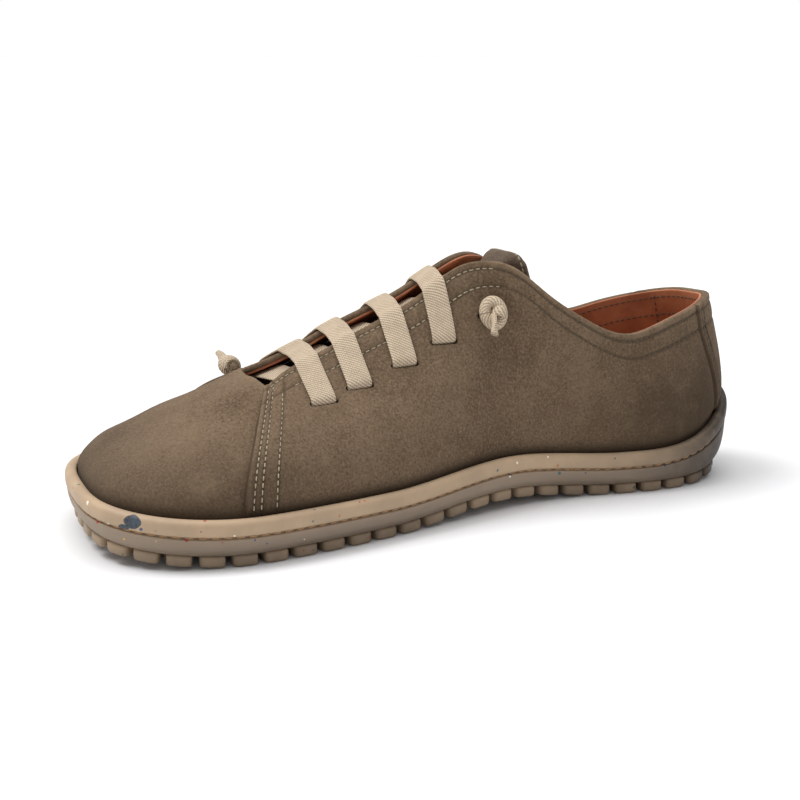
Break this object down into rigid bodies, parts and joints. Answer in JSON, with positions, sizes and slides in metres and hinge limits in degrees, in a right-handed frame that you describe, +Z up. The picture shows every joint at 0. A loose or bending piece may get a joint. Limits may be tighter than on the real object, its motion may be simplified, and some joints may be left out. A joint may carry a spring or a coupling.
{
  "type": "barefoot shoe",
  "caption": "Low barefoot shoe for the right foot, with a wide toe, a hollow suede upper, an elastic lace over the throat and a thin lugged cup sole.",
  "frame": {"origin": "centre of the box's base, on the floor under the shoe", "axes": "+Z up, -Y towards the toe, +X towards the medial side, the side of the big toe"},
  "size_m": [0.114, 0.2648, 0.0912],
  "materials": {
    "rubber": "matt moulded rubber",
    "suede": "suede",
    "insole_cloth": "cloth",
    "elastic": "ribbed elastic"
  },
  "bodies": {
    "root": {"outsole": "rubber", "upper": "suede", "insole": "insole_cloth", "tongue": "suede", "lace": "elastic", "lace_knot_top": "elastic", "lace_knot_bottom": "elastic", "lace_end_top": "elastic", "lace_end_bottom": "elastic"}
  },
  "joints": []
}
